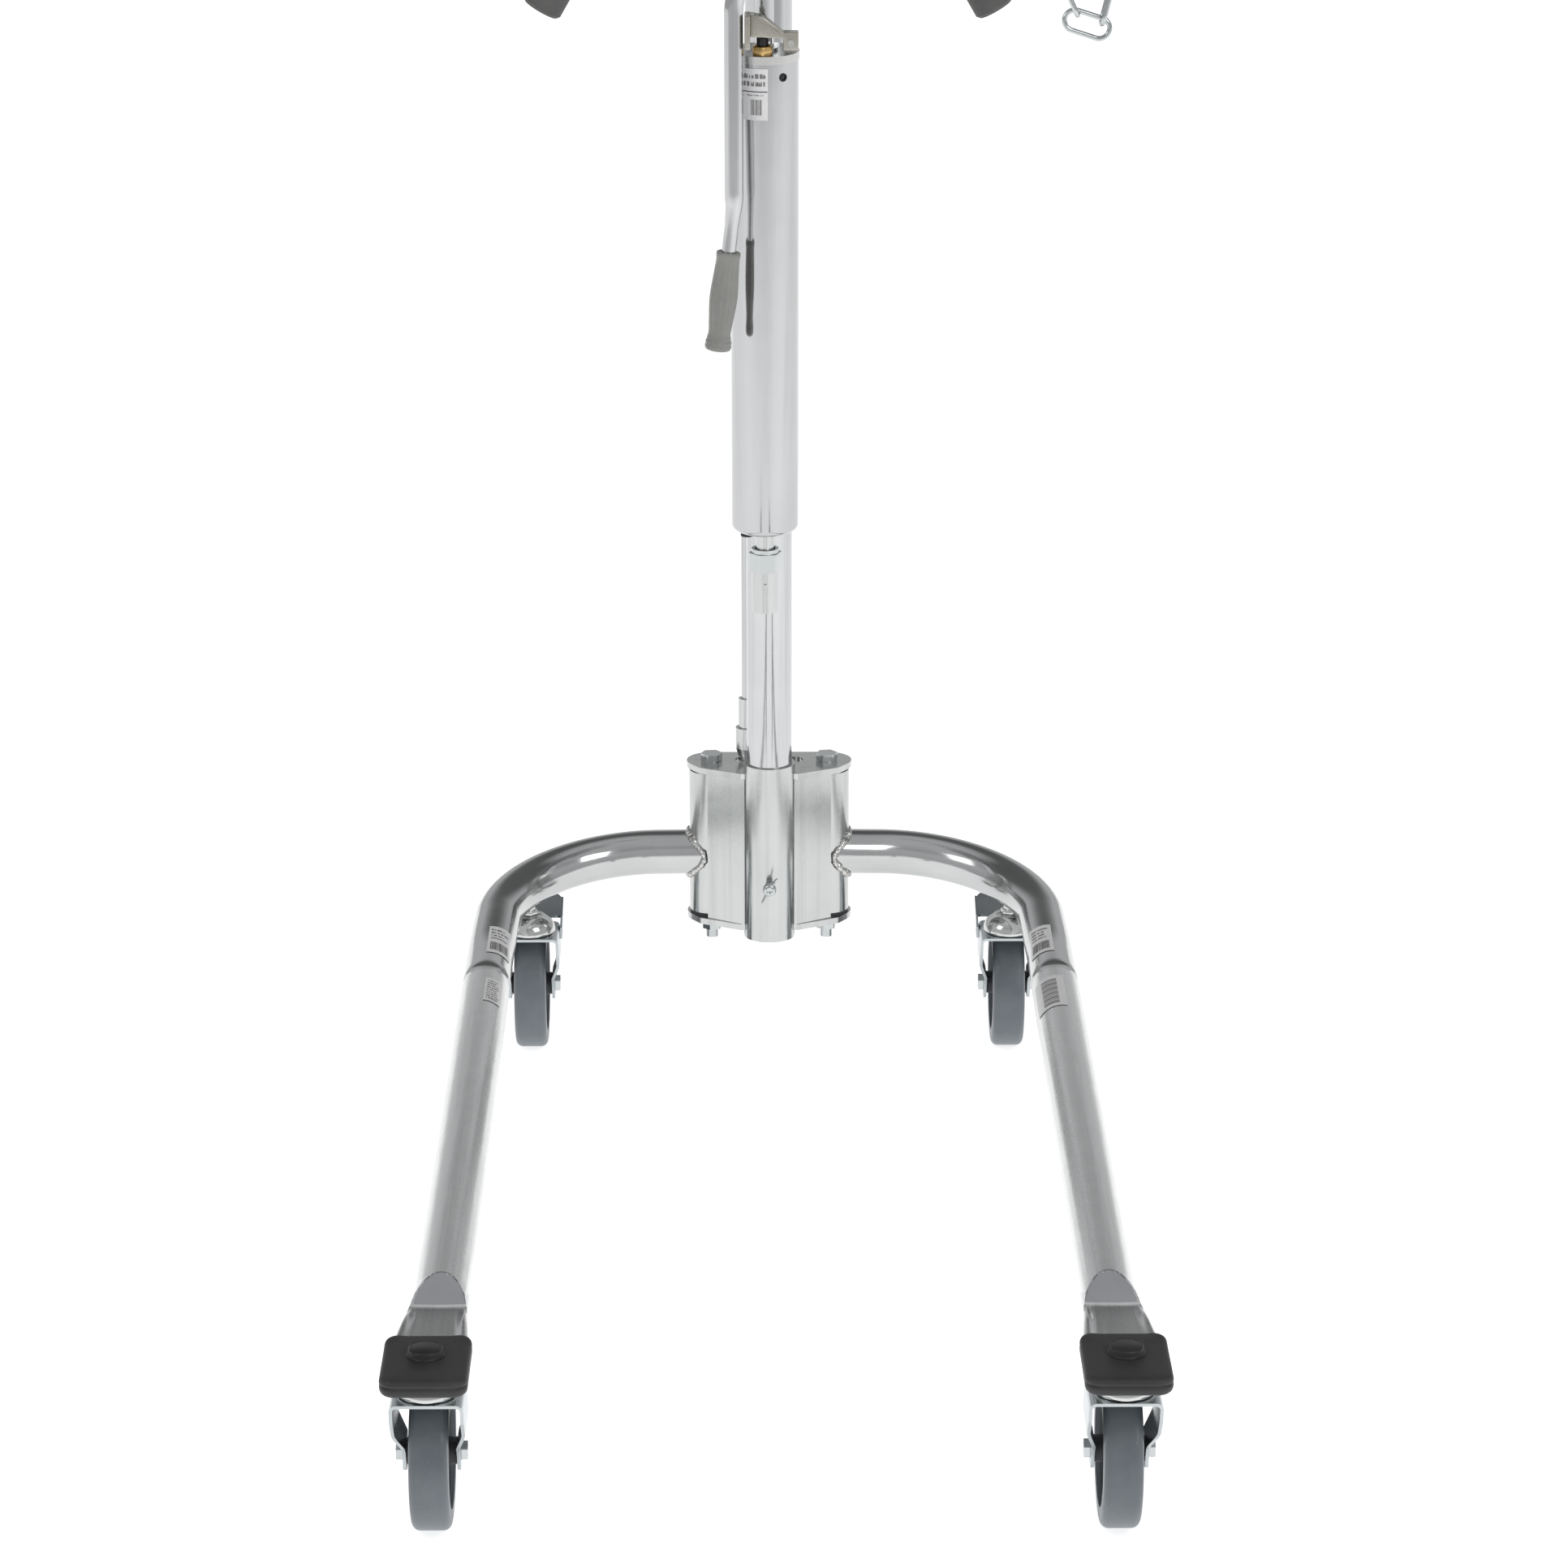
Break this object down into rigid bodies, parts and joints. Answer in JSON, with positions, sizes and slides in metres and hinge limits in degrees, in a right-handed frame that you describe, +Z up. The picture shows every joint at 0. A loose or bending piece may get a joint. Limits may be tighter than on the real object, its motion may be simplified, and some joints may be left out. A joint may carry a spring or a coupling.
{
  "type": "patient lift hoist",
  "caption": "Floor lift with swivelling casters, spreading legs, mast, hydraulic jack, boom and hooked cradle for raising a person in a sling.",
  "frame": {"origin": "on the floor at the centre of the bounding box", "axes": "+Z up, legs reach forward along -Y, +X to the side of the chain"},
  "size_m": [0.616, 1.223, 1.5323],
  "materials": {
    "zinc": "bright zinc plating, lightly satin",
    "chrome": "polished chrome",
    "bolt_zinc": "bluish zinc, satin",
    "pad_rubber": "matte, finely pebbled",
    "black_vinyl": "satin",
    "tyre_grey": "smooth grey rubber with dust",
    "hub_grey": "moulded, satin",
    "grip_dark": "matte foam-like rubber",
    "grip_grey": "ribbed soft vinyl",
    "cast_metal": "cast, gunmetal paint with bright edges",
    "cap_silver": "turned, satin",
    "black_steel": "black, semi-gloss"
  },
  "bodies": {
    "frame": {"base_top_plate": "zinc", "base_bottom_plate": "zinc", "base_front_panels": "zinc", "mast_socket": "zinc", "pivot_bushes": "black_vinyl", "frame_fasteners": "bolt_zinc", "mast": "chrome", "mast_head": "zinc", "jack_mount": "zinc", "push_handle_bar": "zinc", "push_grips": "grip_dark", "handle_clamp": "zinc", "pump_neck": "zinc", "pump_cylinder": "chrome", "pump_cap": "cap_silver"},
    "lever": {"spreader_lever": "zinc", "lever_knob": "black_vinyl"},
    "locking_screw": {"wing_screw": "bolt_zinc"},
    "boom": {"boom_tube": "chrome", "boom_bracket": "zinc", "ram_pin": "bolt_zinc", "boom_end_lug": "zinc"},
    "ram_body": {"ram": "chrome"},
    "plunger_body": {"plunger": "black_steel"},
    "pump_lever": {"pump_yoke": "cast_metal", "pump_handle": "chrome", "pump_handle_grip": "grip_grey"},
    "valve": {"release_valve": "black_steel"},
    "hanger_body": {"hanger": "zinc"},
    "cradle": {"cradle_bars": "zinc", "cradle_hooks": "zinc"},
    "chain": {"sling_chain": "zinc"},
    "left_leg": {"left_pivot_tube": "zinc", "left_leg_bend": "zinc", "left_leg_tube": "zinc", "left_tip_pad": "pad_rubber", "left_caster_stems": "bolt_zinc"},
    "right_leg": {"right_pivot_tube": "zinc", "right_leg_bend": "zinc", "right_leg_tube": "zinc", "right_tip_pad": "pad_rubber", "right_caster_stems": "bolt_zinc"},
    "front_left_caster": {"front_left_fork": "zinc", "front_left_axle": "bolt_zinc"},
    "front_left_wheel": {"front_left_hub": "hub_grey", "front_left_tyre": "tyre_grey"},
    "front_right_caster": {"front_right_fork": "zinc", "front_right_axle": "bolt_zinc"},
    "front_right_wheel": {"front_right_hub": "hub_grey", "front_right_tyre": "tyre_grey"},
    "rear_left_caster": {"rear_left_fork": "zinc", "rear_left_axle": "bolt_zinc"},
    "rear_left_wheel": {"rear_left_hub": "hub_grey", "rear_left_tyre": "tyre_grey"},
    "left_brake": {"left_brake_pedal": "zinc"},
    "rear_right_caster": {"rear_right_fork": "zinc", "rear_right_axle": "bolt_zinc"},
    "rear_right_wheel": {"rear_right_hub": "hub_grey", "rear_right_tyre": "tyre_grey"},
    "right_brake": {"right_brake_pedal": "zinc"}
  },
  "joints": [
    {"name": "left_leg_spread", "type": "hinge", "parent": "frame", "child": "left_leg", "pos_m": [-0.057, 0.551, 0.202], "axis": [0, 0, 1], "range_deg": [-12.5, 0]},
    {"name": "right_leg_spread", "type": "hinge", "parent": "frame", "child": "right_leg", "pos_m": [0.057, 0.551, 0.202], "axis": [0, 0, 1], "range_deg": [0, 12.5]},
    {"name": "lever_tilt", "type": "hinge", "parent": "frame", "child": "lever", "pos_m": [-0.022, 0.551, 0.178], "axis": [0, 1, 0], "range_deg": [0, 20]},
    {"name": "locking_screw_turn", "type": "hinge", "parent": "frame", "child": "locking_screw", "pos_m": [0, 0.482, 0.188], "axis": [0, 1, 0], "continuous": true},
    {"name": "front_left_swivel", "type": "hinge", "parent": "left_leg", "child": "front_left_caster", "pos_m": [-0.274, -0.549, 0.13], "axis": [0, 0, 1], "continuous": true},
    {"name": "front_left_roll", "type": "hinge", "parent": "front_left_caster", "child": "front_left_wheel", "pos_m": [-0.274, -0.509, 0.0635], "axis": [1, 0, 0], "continuous": true},
    {"name": "front_right_swivel", "type": "hinge", "parent": "right_leg", "child": "front_right_caster", "pos_m": [0.274, -0.549, 0.13], "axis": [0, 0, 1], "continuous": true},
    {"name": "front_right_roll", "type": "hinge", "parent": "front_right_caster", "child": "front_right_wheel", "pos_m": [0.274, -0.509, 0.0635], "axis": [1, 0, 0], "continuous": true},
    {"name": "rear_left_swivel", "type": "hinge", "parent": "left_leg", "child": "rear_left_caster", "pos_m": [-0.238, 0.508, 0.13], "axis": [0, 0, 1], "continuous": true},
    {"name": "rear_left_roll", "type": "hinge", "parent": "rear_left_caster", "child": "rear_left_wheel", "pos_m": [-0.238, 0.548, 0.0635], "axis": [1, 0, 0], "continuous": true},
    {"name": "left_brake_press", "type": "hinge", "parent": "rear_left_caster", "child": "left_brake", "pos_m": [-0.238, 0.528, 0.125], "axis": [1, 0, 0], "range_deg": [-12, 0]},
    {"name": "rear_right_swivel", "type": "hinge", "parent": "right_leg", "child": "rear_right_caster", "pos_m": [0.238, 0.508, 0.13], "axis": [0, 0, 1], "continuous": true},
    {"name": "rear_right_roll", "type": "hinge", "parent": "rear_right_caster", "child": "rear_right_wheel", "pos_m": [0.238, 0.548, 0.0635], "axis": [1, 0, 0], "continuous": true},
    {"name": "right_brake_press", "type": "hinge", "parent": "rear_right_caster", "child": "right_brake", "pos_m": [0.238, 0.528, 0.125], "axis": [1, 0, 0], "range_deg": [-12, 0]},
    {"name": "boom_lift", "type": "hinge", "parent": "frame", "child": "boom", "pos_m": [0, 0.513, 1.455], "axis": [-1, 0, 0], "range_deg": [-36, 34]},
    {"name": "ram_slide", "type": "slide", "parent": "frame", "child": "ram_body", "axis": [0, -0.0497, 0.9988], "range_m": [-0.068, 0.064]},
    {"name": "pump_stroke", "type": "hinge", "parent": "frame", "child": "pump_lever", "pos_m": [0.02, 0.4125, 1.0345], "axis": [0, 1, 0], "range_deg": [0, 50]},
    {"name": "plunger_slide", "type": "slide", "parent": "frame", "child": "plunger_body", "axis": [0, -0.0497, 0.9988], "range_m": [0, 0.0165]},
    {"name": "release_turn", "type": "hinge", "parent": "frame", "child": "valve", "pos_m": [-0.021, 0.46849, 0.55456], "axis": [0, -0.0497, 0.9988], "range_deg": [0, 120]},
    {"name": "hanger_swing", "type": "hinge", "parent": "boom", "child": "hanger_body", "pos_m": [0, -0.287, 1.474], "axis": [1, 0, 0], "range_deg": [-45, 45]},
    {"name": "cradle_swivel", "type": "hinge", "parent": "hanger_body", "child": "cradle", "pos_m": [0, -0.287, 1.42], "axis": [0, 0, 1], "continuous": true},
    {"name": "chain_swing", "type": "hinge", "parent": "cradle", "child": "chain", "pos_m": [0.242, -0.287, 1.381], "axis": [1, 0, 0], "range_deg": [-12, 12]}
  ],
  "couplings": [
    {"joint": "right_leg_spread", "follows": "left_leg_spread", "ratio": -1},
    {"joint": "lever_tilt", "follows": "left_leg_spread", "ratio": -1.6},
    {"joint": "ram_slide", "follows": "boom_lift", "m_per_rad": 0.10629},
    {"joint": "plunger_slide", "follows": "pump_stroke", "m_per_rad": 0.0183}
  ]
}
